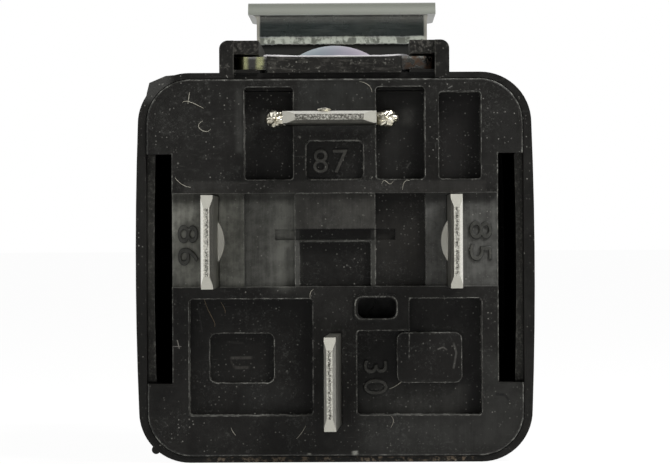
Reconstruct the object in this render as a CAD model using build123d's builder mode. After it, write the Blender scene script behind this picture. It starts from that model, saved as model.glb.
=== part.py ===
"""Four-blade automotive relay with a steel mounting bracket, in millimetres.

The relay lies on one flat side of its cover. The terminal side looks along -Y,
the bracket runs in a guide on the upper side, and the origin is the middle of
the side that the relay rests on. Depths are measured from the rim of the cover
into the relay, heights from the middle of the cover.
"""

import os
from math import asin, cos, radians, sin, sqrt

from build123d import *

os.makedirs("parts", exist_ok=True)

# Cover
cover_width = 27.36
side_bow = 0.19
cover_height = 27.1
cover_depth = 25.0
corner_radius = 3.55
wall = 1.25
end_wall = 1.2
end_edge = 1.0
lug_points = ((34, 0.0), (38, 0.12), (46.5, 0.42), (64.5, 0.17), (74, 0.0))  # angle, reach out of the corner
nub_radius = 0.3
nub_side = 1.17
nub_end = 0.92
edge_tolerance = 0.01

# Base plate
rim_side = 0.61
rim_end = 0.45
base_corner = 3.05
base_thickness = 3.25
flange_thickness = 1.2
face_proud = 0.25
face_edge = 0.15
notch_inset = 1.74
notch_upper_land = 5.2
notch_lower_land = 5.05
pit_depth = 1.3
pit_corner = 0.25
pit_side_land = 2.9
pit_end_land = 2.82
upper_pit_end_land = 0.57
outer_pit_end_land = 0.93
upper_pit_drop = 4.2
upper_pit_inner = 2.87
upper_pit_outer = 6.27
outer_pit_inner = 7.24
spine_half_width = 1.52
lower_pit_margin = 0.82
vent_land_side = 5.12
vent_land_height = 2.24
pocket_width = 4.5
pocket_height = 3.48
pocket_side = 1.38
pocket_end = 2.22
pocket_depth = 0.5
pocket_corner = 0.5
boss_height = 0.6
recess_depth = 0.5
recess_margin = 0.2
recess_lap = 0.02
band_depth = 1.0
band_inner = 2.8
band_outer = 6.3
column_depth = 0.3
column_pit_half_width = 2.48
column_pit_depth = 0.8
blind_slot_half_width = 4.2
blind_slot_height = 0.77
blind_slot_drop = 0.1
blind_slot_depth = 1.3
blind_slot_column_depth = 0.65
number_pit_width = 4.0
number_pit_height = 2.7
number_pit_depth = 0.5
vent_width = 2.65
vent_height = 1.4
vent_side = 2.88
vent_drop = 1.5
vent_rim = 0.25
vent_rim_height = 0.12

# Blades
blade_width = 6.3
blade_thickness = 0.8
blade_length = 11.3
tip_bevel = 0.2
tip_bevel_length = 0.6
tip_corner = 0.85
left_blade_inset = 5.18
right_blade_inset = 5.48
side_blade_height = 1.8
top_blade_inset = 3.25
top_blade_shift = -0.27
bottom_blade_inset = 5.8
top_blade_lean = -0.17
bottom_blade_lean = -0.34
foot_moon_width = 2.8
foot_moon_depth = 0.45
foot_moon_length = 1.4
ear_height = 0.8
ear_reach = 1.2
tenon_width = 3.2

# Bracket guide on the cover
guide_width = 16.0
arm_thickness = 1.0
hook_reach = 1.6
arm_height = 2.25
hook_thickness = 0.95
arm_corner = 0.6
guide_length = 17.7
hook_setback = 0.3
rail_height = 0.22
stop_rib_inset = 2.15
stop_rib_height = 1.15
stop_rib_hollow = 0.12
stop_rib_length = 1.0
stop_rib_setback = 0.2
rim_setback = 0.5

# Bracket
plate_thickness = 0.9
plate_side_gap = 0.15
plate_corner = 0.7
lower_bend = 2.4
upper_bend = 0.2
offset_height = 4.9
bend_clearance = 0.3
tab_widening = 0.15
tab_shift = 0.45
neck_inset = 0.5
neck_rise = 2.15
neck_corner = 0.5
tab_reach = 16.4
tab_corner = 4.0
hole_diameter = 5.3
hole_from_end = 6.4
bulge_width = 5.9
bulge_height = 0.95
bulge_from_stop = 4.4

# Magnet
yoke_thickness = 1.5
yoke_margin = 0.435
yoke_foot_margin = 5.4
leg_inset = 1.95
core_share = 0.47
pole_rim = 1.2
pole_thickness = 0.8
coil_room = 0.3
shelf_room = 0.9
blade_room = 0.6
end_room = 1.2
bobbin_flange = 1.0
tube_wall = 0.85
winding_inset = 0.81
tape_thickness = 0.1
bare_winding = 1.4
lead_radius = 0.12
tail_width = 1.2
tail_drop = 2.0
tail_length = 5.5
wrap_thickness = 0.25
wrap_length = 1.3

# Armature, contacts and springs
armature_thickness = 1.4
armature_inset = 0.5
armature_overhang = 1.0
armature_setback = 0.15
strip_thickness = 0.3
strip_width = 5.0
strip_start = 4.0
strip_end_margin = 0.5
contact_inset = 1.7
contact_radius = 1.5
contact_gap = 1.0
moving_contact_height = 1.1
fixed_contact_height = 0.8
contact_shank = 0.8
rivet_head = 0.3
shelf_thickness = 0.8
shelf_width = 5.0
shelf_margin = 0.3
stop_plate_inset = 0.75
stop_plate_width = 4.4
stop_foot = 1.0
rivet_radius = 0.6
rivet_head_radius = 1.1
rivet_spacing = 2.6
spring_thickness = 0.25
spring_width = 7.0
spring_length = 11.0
spring_hook = 1.2
spring_rivet_inset = 2.0
rivet_depth = 1.0

# Clearances
press_gap = 0.02
slot_gap = 0.05
slide_gap = 0.03
hinge_gap = 0.04
hook_gap = 0.1


def into(depth):
    """Plane facing the terminal side, at a depth behind the rim of the cover."""
    origin = (0, depth - cover_depth / 2, cover_height / 2)
    return Plane(origin=origin, x_dir=(1, 0, 0), z_dir=(0, -1, 0))


def beside(across):
    """Side plane at a place across the relay, with depth and height as its axes."""
    origin = (across, -cover_depth / 2, cover_height / 2)
    return Plane(origin=origin, x_dir=(0, 1, 0), z_dir=(1, 0, 0))


def bowed_outline(inset):
    """Outline of the cover, moved inwards, with its two sides bowed outwards."""
    half_width = cover_width / 2 - inset
    half_height = cover_height / 2 - inset
    radius = corner_radius - inset
    low = -half_height + radius
    edge = half_width - radius
    with BuildLine() as outline:
        Line((-edge, -half_height), (edge, -half_height))
        RadiusArc((edge, -half_height), (half_width, low), -radius)
        ThreePointArc((half_width, low), (half_width + side_bow, 0), (half_width, -low))
        RadiusArc((half_width, -low), (edge, half_height), -radius)
        Line((edge, half_height), (-edge, half_height))
        RadiusArc((-edge, half_height), (-half_width, -low), -radius)
        ThreePointArc((-half_width, -low), (-half_width - side_bow, 0), (-half_width, low))
        RadiusArc((-half_width, low), (-edge, -half_height), -radius)
    return outline.line


def box_sketch(left, right, low, high, corner=0.0, mode=Mode.ADD):
    """Rectangle between four limits, with rounded corners where a corner is given."""
    with Locations(((left + right) / 2, (low + high) / 2)):
        if corner > 0:
            RectangleRounded(right - left, high - low, corner, mode=mode)
        else:
            Rectangle(right - left, high - low, mode=mode)


# Widths and heights that several pieces share
cover_top = cover_height / 2
cover_side = cover_width / 2
half_base_width = cover_side - rim_side
half_base_height = cover_top - rim_end
left_blade_side = cover_side - left_blade_inset
right_blade_side = cover_side - right_blade_inset
top_blade_height = cover_top - top_blade_inset
bottom_blade_height = bottom_blade_inset - cover_top
contact_height = top_blade_height - contact_inset
stop_plate_height = cover_top - wall - stop_plate_inset
leg_height = leg_inset + wall - cover_top
leg_inner = leg_height + yoke_thickness
shelf_low = contact_height - contact_radius - shelf_margin
bobbin_height = shelf_low - shelf_room - leg_inner - 2 * coil_room
bobbin_width = 2 * (right_blade_side - blade_thickness / 2 - blade_room)
coil_height = leg_inner + coil_room + bobbin_height / 2
winding_outer = min(bobbin_width, bobbin_height) / 2 - winding_inset
yoke_width = 2 * (winding_outer + yoke_margin)
armature_width = yoke_width - 2 * armature_inset
core_radius = core_share * winding_outer
pole_radius = core_radius + pole_rim
winding_inner = core_radius + press_gap + tube_wall + press_gap
slot_half_width = guide_width / 2 - arm_thickness
plate_width = 2 * (slot_half_width - plate_side_gap)
tab_width = plate_width + 2 * tab_widening
neck_width = plate_width - 2 * neck_inset
guide_mouth = plate_width - 2 * hook_reach
stop_rib_width = plate_width - 2 * stop_rib_inset
plate_low = cover_top + rail_height + slide_gap
plate_high = plate_low + plate_thickness

# Angle of the open armature, from the gap between the contacts
contact_reach = contact_height - leg_height
tilt = asin(contact_gap / contact_reach)
strip_back = armature_thickness + strip_thickness
back_head = contact_shank + rivet_head
open_rise = (contact_reach + back_head) * sin(tilt) + (strip_back + rivet_head) * cos(tilt)
armature_reach = coil_height - leg_height + pole_radius + armature_overhang

# Depths that several pieces share; the bobbin fills what the others leave
flange_back = flange_thickness - face_proud
base_back = base_thickness - face_proud
inner_end = cover_depth - end_wall
foot_front = base_back + press_gap
foot_back = foot_front + yoke_thickness
bobbin_front = foot_back + press_gap
stop_front = inner_end - end_room - shelf_thickness
hinge_depth = stop_front - hinge_gap - open_rise
pole_back = hinge_depth - hinge_gap
bobbin_back = pole_back - pole_thickness - press_gap
bobbin_length = bobbin_back - bobbin_front
winding_front = bobbin_front + bobbin_flange + press_gap
winding_back = bobbin_back - bobbin_flange - press_gap
contact_face = hinge_depth + armature_thickness - moving_contact_height - slide_gap
shelf_back = contact_face - fixed_contact_height
shelf_front = shelf_back - shelf_thickness
hook_front = hinge_depth + armature_thickness * cos(tilt) + spring_hook * sin(tilt) + hook_gap
spring_start = hook_front - spring_length
plate_front = stop_rib_setback + stop_rib_length + slide_gap
offset_depth = guide_length + lower_bend + bend_clearance
bracket_end = offset_depth + tab_reach

# Blade places: across, height, whether the blade is turned to stand upright
blades = {
    "terminal_86": (-left_blade_side, side_blade_height, True),
    "terminal_85": (right_blade_side, side_blade_height, True),
    "terminal_87": (top_blade_shift, top_blade_height, False),
    "terminal_30": (0.0, bottom_blade_height, True),
}
# Two blades are bent a little, by this much at their tips
leans = {"terminal_87": top_blade_lean, "terminal_30": bottom_blade_lean}


def base_outline(gap, mode=Mode.ADD):
    """Rounded outline of the base plate, grown by a gap."""
    width = 2 * (half_base_width + gap)
    height = 2 * (half_base_height + gap)
    RectangleRounded(width, height, base_corner + gap, mode=mode)


def blade_section(name, width, thickness):
    """Rectangle of a blade's section, at its place and turned its way."""
    across, height, upright = blades[name]
    with Locations((across, height)):
        Rectangle(thickness if upright else width, width if upright else thickness)


def add_blade(name):
    """The plug-in blade, from its bevelled tip to the inner side of the base."""
    across, height, upright = blades[name]
    tip = -face_proud - blade_length
    half = blade_thickness / 2
    lean = leans.get(name, 0)
    bevel_lean = lean * (1 - tip_bevel_length / blade_length)
    profile_plane = Plane(
        origin=(across, -cover_depth / 2, cover_height / 2 + height),
        x_dir=(1, 0, 0) if upright else (0, 0, 1),
        z_dir=(0, 0, 1) if upright else (-1, 0, 0),
    )
    with BuildSketch(profile_plane) as profile:
        with BuildLine():
            Polyline(
                (-half, base_back),
                (-half, -face_proud),
                (bevel_lean - half, tip + tip_bevel_length),
                (lean - half + tip_bevel, tip),
                (lean + half - tip_bevel, tip),
                (bevel_lean + half, tip + tip_bevel_length),
                (half, -face_proud),
                (half, base_back),
                close=True,
            )
        make_face()
    extrude(profile.sketch, amount=blade_width / 2, both=True)
    tip_face = faces().sort_by(Axis.Y)[0]
    chamfer(tip_face.edges().filter_by(Axis.X if upright else Axis.Z), tip_corner)


# Cover: a deep cup with the bracket guide on its upper side
with BuildPart() as cover:
    with BuildSketch(into(0)):
        make_face(bowed_outline(0))
    extrude(amount=-cover_depth)
    fillet(faces().sort_by(Axis.Y)[-1].edges(), end_edge)
    with BuildSketch(into(0)):
        make_face(bowed_outline(wall))
    extrude(amount=-inner_end, mode=Mode.SUBTRACT)
    # Two arms with hooks make the T-shaped guide
    with BuildSketch(into(0)):
        for side in (-1, 1):
            outer = side * guide_width / 2
            inner = side * (guide_width / 2 - arm_thickness)
            root = cover_top - wall / 2
            box_sketch(min(outer, inner), max(outer, inner), root, cover_top + arm_height)
    extrude(amount=-guide_length)
    with BuildSketch(into(hook_setback)):
        for side in (-1, 1):
            outer = side * (guide_width / 2 - arm_thickness / 2)
            inner = side * guide_mouth / 2
            hook_low = cover_top + arm_height - hook_thickness
            box_sketch(min(outer, inner), max(outer, inner), hook_low, cover_top + arm_height)
            box_sketch(min(outer, inner), max(outer, inner), cover_top - wall / 2, cover_top + rail_height)
    extrude(amount=hook_setback - guide_length)
    arm_edges = edges().filter_by(Axis.Y).filter_by_position(
        Axis.Z, cover_height + arm_height - edge_tolerance, cover_height + arm_height + edge_tolerance
    )
    fillet([edge for edge in arm_edges if abs(edge.center().X) > guide_width / 2 - edge_tolerance], arm_corner)
    # Stop rib for the bracket plate, with a hollow upper edge
    with BuildSketch(into(stop_rib_setback)):
        half_rib = stop_rib_width / 2
        rib_top = cover_top + stop_rib_height
        with BuildLine():
            Polyline(
                (-half_rib, rib_top),
                (-half_rib, cover_top - wall / 2),
                (half_rib, cover_top - wall / 2),
                (half_rib, rib_top),
            )
            ThreePointArc((half_rib, rib_top), (0, rib_top - stop_rib_hollow), (-half_rib, rib_top))
        make_face()
    extrude(amount=-stop_rib_length)
    # The rim is set back between the arms
    with BuildSketch(into(0)):
        box_sketch(-slot_half_width, slot_half_width, half_base_height - wall / 2, cover_top)
    extrude(amount=-rim_setback, mode=Mode.SUBTRACT)
    # Seat of the base flange in the rim
    with BuildSketch(into(0)):
        base_outline(slot_gap)
    extrude(amount=-flange_back - press_gap, mode=Mode.SUBTRACT)
    # Clipped lug in the upper left corner of the rim, and a nub in the lower left one
    with BuildSketch(into(0)):
        corner_middle = (corner_radius - cover_side, cover_top - corner_radius)
        lug_corners = [
            (
                corner_middle[0] - (corner_radius + reach) * cos(radians(angle)),
                corner_middle[1] + (corner_radius + reach) * sin(radians(angle)),
            )
            for angle, reach in lug_points
        ]
        with BuildLine():
            Polyline(corner_middle, *lug_corners, close=True)
        make_face()
        with Locations((nub_side - cover_side, nub_end - cover_top)):
            Circle(nub_radius)
        base_outline(slot_gap, mode=Mode.SUBTRACT)
    extrude(amount=-flange_back)
cover.part.label = "cover"
export_step(cover.part, "parts/cover.step")

# Base plate: flange in the rim, plug in the cup, pits and recesses in its face
side_blade_low = side_blade_height - blade_width / 2
side_blade_high = side_blade_height + blade_width / 2
recess_low = side_blade_low + recess_lap
recess_high = side_blade_high + recess_margin
recess_side = half_base_width - notch_inset
pit_side = half_base_width - pit_side_land
pit_end = half_base_height - pit_end_land
upper_pit_low = top_blade_height - upper_pit_drop
upper_pit_high = half_base_height - upper_pit_end_land
outer_pit_high = half_base_height - outer_pit_end_land
lower_pit_high = side_blade_low - lower_pit_margin
pocket_inner = pit_side - pocket_side - pocket_width
pocket_low = pocket_end - pit_end
vent_height_middle = side_blade_low - vent_drop


def cut_into_face(depth):
    """Face of the base plate, lowered by a depth."""
    return into(depth - face_proud)


with BuildPart() as base:
    with BuildSketch(cut_into_face(0)):
        base_outline(0)
    extrude(amount=-flange_thickness)
    chamfer(faces().sort_by(Axis.Y)[0].edges(), face_edge)
    with BuildSketch(into(flange_back)):
        make_face(bowed_outline(wall + slot_gap))
    extrude(amount=flange_back - base_back)
    # Notches in the two sides, open to the walls of the cover
    with BuildSketch(cut_into_face(0)):
        notch_low = notch_lower_land - half_base_height
        notch_high = half_base_height - notch_upper_land
        box_sketch(-cover_side, -recess_side, notch_low, notch_high)
        box_sketch(recess_side, cover_side, notch_low, notch_high)
    extrude(amount=-base_thickness, mode=Mode.SUBTRACT)
    # Middle recess in steps, open to the notches
    for inner, outer, depth in ((band_outer, cover_side, recess_depth), (band_inner, band_outer, band_depth)):
        with BuildSketch(cut_into_face(0)):
            box_sketch(-outer, -inner, recess_low, recess_high)
            box_sketch(inner, outer, recess_low, recess_high)
        extrude(amount=-depth, mode=Mode.SUBTRACT)
    with BuildSketch(cut_into_face(0)):
        box_sketch(-band_inner, band_inner, recess_low, recess_high)
    extrude(amount=-column_depth, mode=Mode.SUBTRACT)
    with BuildSketch(cut_into_face(0)):
        box_sketch(-column_pit_half_width, column_pit_half_width, recess_low, side_blade_height)
    extrude(amount=-column_pit_depth, mode=Mode.SUBTRACT)
    # Closed slot where a fifth blade would stand
    slot_low = side_blade_height + blind_slot_drop
    slot_high = slot_low + blind_slot_height
    with BuildSketch(cut_into_face(0)):
        box_sketch(-blind_slot_half_width, -band_inner, slot_low, slot_high)
        box_sketch(band_inner, blind_slot_half_width, slot_low, slot_high)
    extrude(amount=-blind_slot_depth, mode=Mode.SUBTRACT)
    with BuildSketch(cut_into_face(0)):
        box_sketch(-band_inner, band_inner, slot_low, slot_high)
    extrude(amount=-blind_slot_column_depth, mode=Mode.SUBTRACT)
    # Pits beside the upper blade, and one in the corner
    with BuildSketch(cut_into_face(0)):
        box_sketch(-upper_pit_outer, -upper_pit_inner, upper_pit_low, upper_pit_high, pit_corner)
        box_sketch(upper_pit_inner, upper_pit_outer, upper_pit_low, upper_pit_high, pit_corner)
        box_sketch(outer_pit_inner, pit_side, upper_pit_low, outer_pit_high, pit_corner)
    extrude(amount=-pit_depth, mode=Mode.SUBTRACT)
    # Shallow pit for the number of the upper blade
    with BuildSketch(cut_into_face(0)):
        half_number = number_pit_width / 2
        box_sketch(-half_number, half_number, upper_pit_low, upper_pit_low + number_pit_height, pit_corner)
    extrude(amount=-number_pit_depth, mode=Mode.SUBTRACT)
    # Lower left pit with a deeper pocket
    with BuildSketch(cut_into_face(0)):
        box_sketch(-pit_side, -spine_half_width, -pit_end, lower_pit_high, pit_corner)
    extrude(amount=-pit_depth, mode=Mode.SUBTRACT)
    with BuildSketch(cut_into_face(0)):
        pocket_high = pocket_low + pocket_height
        box_sketch(-pocket_inner - pocket_width, -pocket_inner, pocket_low, pocket_high, pocket_corner)
    extrude(amount=-pit_depth - pocket_depth, mode=Mode.SUBTRACT)
    # Lower right pit in an L round the vent, with a raised block in it
    with BuildSketch(cut_into_face(0)):
        box_sketch(spine_half_width, pit_side, -pit_end, lower_pit_high - vent_land_height, pit_corner)
        box_sketch(vent_land_side, pit_side, pocket_low, lower_pit_high, pit_corner)
    extrude(amount=-pit_depth, mode=Mode.SUBTRACT)
    with BuildSketch(cut_into_face(pit_depth)):
        box_sketch(pocket_inner, pocket_inner + pocket_width, pocket_low, pocket_high, pocket_corner)
    extrude(amount=boss_height)
    # Vent slot through the plate, with a low rim
    with BuildSketch(cut_into_face(0)):
        with Locations((vent_side, vent_height_middle)):
            RectangleRounded(vent_width + 2 * vent_rim, vent_height + 2 * vent_rim, pocket_corner)
    extrude(amount=vent_rim_height)
    with BuildSketch(cut_into_face(-vent_rim_height)):
        with Locations((vent_side, vent_height_middle)):
            RectangleRounded(vent_width, vent_height, pocket_corner)
    extrude(amount=-base_thickness - vent_rim_height, mode=Mode.SUBTRACT)
    # Slots that hold the blades
    with BuildSketch(cut_into_face(0)):
        for blade_name in blades:
            blade_section(blade_name, blade_width + 2 * slot_gap, blade_thickness + 2 * slot_gap)
        with Locations((top_blade_shift, top_blade_height)):
            Rectangle(blade_width + 2 * ear_reach + 2 * slot_gap, blade_thickness + 2 * slot_gap)
    extrude(amount=-base_thickness, mode=Mode.SUBTRACT)
    # Pocket for the foot of the stop plate
    with BuildSketch(into(base_back)):
        with Locations((top_blade_shift, stop_plate_height)):
            Rectangle(stop_plate_width + 2 * press_gap, shelf_thickness + 2 * press_gap)
    extrude(amount=stop_foot, mode=Mode.SUBTRACT)
base.part.label = "base"
export_step(base.part, "parts/base.step")

# Side blades of the coil, each with a half-moon at its foot and a tail for its lead
tail_height = side_blade_height - tail_drop
side_tails = {}
for blade_name in ("terminal_86", "terminal_85"):
    across, height, upright = blades[blade_name]
    inward = 1 if across < 0 else -1
    inner_face = across + inward * blade_thickness / 2
    with BuildPart() as side_blade:
        add_blade(blade_name)
        moon_radius = (foot_moon_width**2 / 4 + foot_moon_depth**2) / (2 * foot_moon_depth)
        with BuildSketch(cut_into_face(recess_depth)):
            with Locations((inner_face + inward * (foot_moon_depth - moon_radius), height)):
                Circle(moon_radius)
            with Locations((inner_face - inward * moon_radius, height)):
                Rectangle(2 * moon_radius, 3 * moon_radius, mode=Mode.SUBTRACT)
        extrude(amount=foot_moon_length)
        with BuildSketch(into(base_back)):
            with Locations((across, tail_height)):
                Rectangle(blade_thickness, tail_width)
        extrude(amount=-tail_length)
    side_tails[blade_name] = (across, inward)
    side_blade.part.label = blade_name
    export_step(side_blade.part, f"parts/{blade_name}.step")

# Common blade, with a tenon into the foot of the yoke
with BuildPart() as terminal_30:
    add_blade("terminal_30")
    with BuildSketch(into(base_back)):
        blade_section("terminal_30", tenon_width, blade_thickness)
    extrude(amount=-yoke_thickness - press_gap)
terminal_30.part.label = "terminal_30"
export_step(terminal_30.part, "parts/terminal_30.step")

# Contact blade: staked ears, riser and the shelf of the fixed contact
with BuildPart() as terminal_87:
    add_blade("terminal_87")
    with BuildSketch(cut_into_face(pit_depth)):
        for side in (-1, 1):
            ear_middle = top_blade_shift + side * (blade_width / 2 + ear_reach / 2)
            with Locations((ear_middle, top_blade_height)):
                Rectangle(ear_reach, blade_thickness)
    extrude(amount=ear_height)
    with BuildSketch(into(base_back)):
        with Locations((top_blade_shift, top_blade_height)):
            Rectangle(shelf_width, blade_thickness)
    extrude(amount=base_back - shelf_back)
    with BuildSketch(into(shelf_front)):
        left = top_blade_shift - shelf_width / 2
        box_sketch(left, left + shelf_width, shelf_low, top_blade_height + blade_thickness / 2)
    extrude(amount=-shelf_thickness)
    with BuildSketch(into(shelf_front)):
        with Locations((top_blade_shift, contact_height)):
            Circle(contact_shank + press_gap)
    extrude(amount=-shelf_thickness, mode=Mode.SUBTRACT)
terminal_87.part.label = "terminal_87"
export_step(terminal_87.part, "parts/terminal_87.step")

# Fixed contact, riveted into the shelf
with BuildPart() as fixed_contact:
    with BuildSketch(into(contact_face)):
        with Locations((top_blade_shift, contact_height)):
            Circle(contact_radius)
    extrude(amount=fixed_contact_height)
    with BuildSketch(into(shelf_back)):
        with Locations((top_blade_shift, contact_height)):
            Circle(contact_shank)
    extrude(amount=shelf_thickness)
fixed_contact.part.label = "fixed_contact"
export_step(fixed_contact.part, "parts/fixed_contact.step")

# Bracket: plate in the guide, offset outwards behind the cover, tab with a hole
with BuildPart() as bracket:
    with BuildSketch(beside(0)):
        with BuildLine():
            FilletPolyline(
                (plate_front, plate_low),
                (offset_depth + plate_thickness, plate_low),
                (offset_depth + plate_thickness, plate_low + offset_height),
                (bracket_end, plate_low + offset_height),
                radius=(lower_bend + plate_thickness, upper_bend),
            )
            offset(amount=plate_thickness, side=Side.LEFT)
        make_face()
    extrude(amount=tab_width, both=True)
    # Outline of the sheet, seen from above
    tab_left = tab_shift - tab_width / 2
    tab_right = tab_shift + tab_width / 2
    sheet_plane = Plane(origin=(0, -cover_depth / 2, 0), x_dir=(1, 0, 0), z_dir=(0, 0, 1))
    with BuildSketch(sheet_plane):
        box_sketch(-plate_width / 2, plate_width / 2, plate_front, offset_depth)
        fillet(vertices().group_by(Axis.Y)[0], plate_corner)
        box_sketch(tab_left, tab_right, offset_depth, bracket_end - tab_corner)
        with Locations((tab_shift, bracket_end - tab_corner)):
            SlotCenterToCenter(tab_width - 2 * tab_corner, 2 * tab_corner)
    extrude(amount=2 * cover_height, mode=Mode.INTERSECT)
    # Side cuts that narrow the riser to a neck, seen from the front
    neck_low = plate_low + neck_rise
    neck_high = plate_low + offset_height
    with BuildSketch(into(0)):
        for side in (-1, 1):
            plate_edge = side * plate_width / 2
            neck_side = tab_shift + side * neck_width / 2
            far = side * tab_width
            box_sketch(min(plate_edge, far), max(plate_edge, far), -cover_top, neck_high)
            box_sketch(min(neck_side, far), max(neck_side, far), neck_low, neck_high, neck_corner)
    extrude(amount=-2 * cover_depth, mode=Mode.SUBTRACT)
    # Pressed bulge near the front end
    bulge_radius = (bulge_width**2 / 4 + bulge_height**2) / (2 * bulge_height)
    bulge_depth = plate_front + bulge_from_stop
    for level, way in ((plate_high, Mode.ADD), (plate_low, Mode.SUBTRACT)):
        with BuildSketch(beside(0)):
            with Locations((bulge_depth, level + bulge_height - bulge_radius)):
                Circle(bulge_radius)
            box_sketch(
                bulge_depth,
                bulge_depth + 2 * bulge_radius,
                level - 2 * bulge_radius,
                level + 2 * bulge_radius,
                mode=Mode.SUBTRACT,
            )
            box_sketch(
                bulge_depth - 2 * bulge_radius,
                bulge_depth,
                level - 3 * bulge_radius,
                level,
                mode=Mode.SUBTRACT,
            )
        bulge_axis = Axis((0, bulge_depth - cover_depth / 2, 0), (0, 0, 1))
        revolve(axis=bulge_axis, mode=way)
    # Fixing hole in the tab
    with BuildSketch(sheet_plane):
        with Locations((tab_shift, bracket_end - hole_from_end)):
            Circle(hole_diameter / 2)
    extrude(amount=2 * cover_height, mode=Mode.SUBTRACT)
bracket.part.label = "bracket"
export_step(bracket.part, "parts/bracket.step")

# Row of the rivets that hold the return spring on the back of the leg
spring_row = Plane(
    origin=(0, spring_start + spring_rivet_inset - cover_depth / 2, cover_height / 2 + leg_height),
    x_dir=(1, 0, 0),
    z_dir=(0, 0, -1),
)

# Yoke: foot under the coil, leg up to the hinge line
with BuildPart() as yoke:
    with BuildSketch(into(foot_front)):
        box_sketch(-yoke_width / 2, yoke_width / 2, leg_height, coil_height + yoke_foot_margin)
    extrude(amount=-yoke_thickness)
    with BuildSketch(into(foot_front)):
        box_sketch(-yoke_width / 2, yoke_width / 2, leg_height, leg_inner)
    extrude(amount=foot_front - pole_back)
    with BuildSketch(into(foot_front)):
        with Locations((0, coil_height)):
            Circle(core_radius + press_gap)
        blade_section("terminal_30", tenon_width + 2 * press_gap, blade_thickness + 2 * press_gap)
    extrude(amount=-yoke_thickness, mode=Mode.SUBTRACT)
    with Locations(spring_row):
        with GridLocations(rivet_spacing, 0, 2, 1):
            Hole(rivet_radius + press_gap, depth=rivet_depth)
yoke.part.label = "yoke"
export_step(yoke.part, "parts/yoke.step")

# Core, riveted through the foot, with its wider pole face
with BuildPart() as core:
    with BuildSketch(into(foot_front)):
        with Locations((0, coil_height)):
            Circle(core_radius)
    extrude(amount=foot_front - pole_back)
    with BuildSketch(into(pole_back - pole_thickness)):
        with Locations((0, coil_height)):
            Circle(pole_radius)
    extrude(amount=-pole_thickness)
core.part.label = "core"
export_step(core.part, "parts/core.step")

# Bobbin: tube between two square flanges
with BuildPart() as bobbin:
    with BuildSketch(into(bobbin_front)):
        with Locations((0, coil_height)):
            Circle(core_radius + press_gap + tube_wall)
    extrude(amount=-bobbin_length)
    for flange_front in (bobbin_front, bobbin_back - bobbin_flange):
        with BuildSketch(into(flange_front)):
            with Locations((0, coil_height)):
                Rectangle(bobbin_width, bobbin_height)
        extrude(amount=-bobbin_flange)
    with BuildSketch(into(bobbin_front)):
        with Locations((0, coil_height)):
            Circle(core_radius + press_gap)
    extrude(amount=-bobbin_length, mode=Mode.SUBTRACT)
bobbin.part.label = "bobbin"
export_step(bobbin.part, "parts/bobbin.step")

# Winding, and the tape round most of it
with BuildPart() as coil_winding:
    with BuildSketch(into(winding_front)):
        with Locations((0, coil_height)):
            Circle(winding_outer)
            Circle(winding_inner, mode=Mode.SUBTRACT)
    extrude(amount=winding_front - winding_back)
coil_winding.part.label = "coil_winding"
export_step(coil_winding.part, "parts/coil_winding.step")

tape_front = winding_front + bare_winding
with BuildPart() as coil_tape:
    with BuildSketch(into(tape_front)):
        with Locations((0, coil_height)):
            Circle(winding_outer + press_gap + tape_thickness)
            Circle(winding_outer + press_gap, mode=Mode.SUBTRACT)
    extrude(amount=tape_front - winding_back)
coil_tape.part.label = "coil_tape"
export_step(coil_tape.part, "parts/coil_tape.step")

# Leads: a wrap round each tail and a straight wire to the winding
lead_depth = winding_front + bare_winding / 2
lead_drop = tail_height - coil_height
winding_side = sqrt(winding_outer**2 - lead_drop**2)
for blade_name, lead_name in (("terminal_86", "coil_lead_86"), ("terminal_85", "coil_lead_85")):
    across, inward = side_tails[blade_name]
    wrap_side = across + inward * (blade_thickness / 2 + press_gap + wrap_thickness / 2)
    wire_end = -inward * (winding_side + lead_radius / 2)
    with BuildPart() as coil_lead:
        with BuildSketch(into(lead_depth - wrap_length / 2)):
            with Locations((across, tail_height)):
                hole_across = blade_thickness + 2 * press_gap
                hole_up = tail_width + 2 * press_gap
                Rectangle(hole_across + 2 * wrap_thickness, hole_up + 2 * wrap_thickness)
                Rectangle(hole_across, hole_up, mode=Mode.SUBTRACT)
        extrude(amount=-wrap_length)
        with BuildSketch(beside(wrap_side)):
            with Locations((lead_depth, tail_height)):
                Circle(lead_radius)
        extrude(amount=wire_end - wrap_side)
    coil_lead.part.label = lead_name
    export_step(coil_lead.part, f"parts/{lead_name}.step")

# Hinge of the armature: the outer edge of the yoke's leg
hinge_point = (0, hinge_depth - cover_depth / 2, cover_height / 2 + leg_height)
armature_plane = Plane(origin=hinge_point, x_dir=(1, 0, 0), z_dir=(0, -cos(tilt), sin(tilt)))
rivet_row = strip_start + spring_rivet_inset

with BuildPart() as armature:
    with BuildSketch(armature_plane):
        half_armature = armature_width / 2
        box_sketch(-half_armature, half_armature, armature_setback, armature_reach)
        with Locations((0, rivet_row)):
            with GridLocations(rivet_spacing, 0, 2, 1):
                Circle(rivet_radius + press_gap, mode=Mode.SUBTRACT)
    extrude(amount=-armature_thickness)
armature.part.label = "armature"
export_step(armature.part, "parts/armature.step")

strip_end = contact_reach + contact_radius + strip_end_margin
with BuildPart() as contact_spring:
    with BuildSketch(armature_plane.offset(-armature_thickness)):
        with Locations((top_blade_shift / 2, 0)):
            box_sketch(-strip_width / 2, strip_width / 2, strip_start, strip_end)
        with Locations((0, rivet_row)):
            with GridLocations(rivet_spacing, 0, 2, 1):
                Circle(rivet_radius + press_gap, mode=Mode.SUBTRACT)
        with Locations((top_blade_shift, contact_reach)):
            Circle(contact_shank + press_gap, mode=Mode.SUBTRACT)
    extrude(amount=-strip_thickness)
contact_spring.part.label = "contact_spring"
export_step(contact_spring.part, "parts/contact_spring.step")

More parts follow.
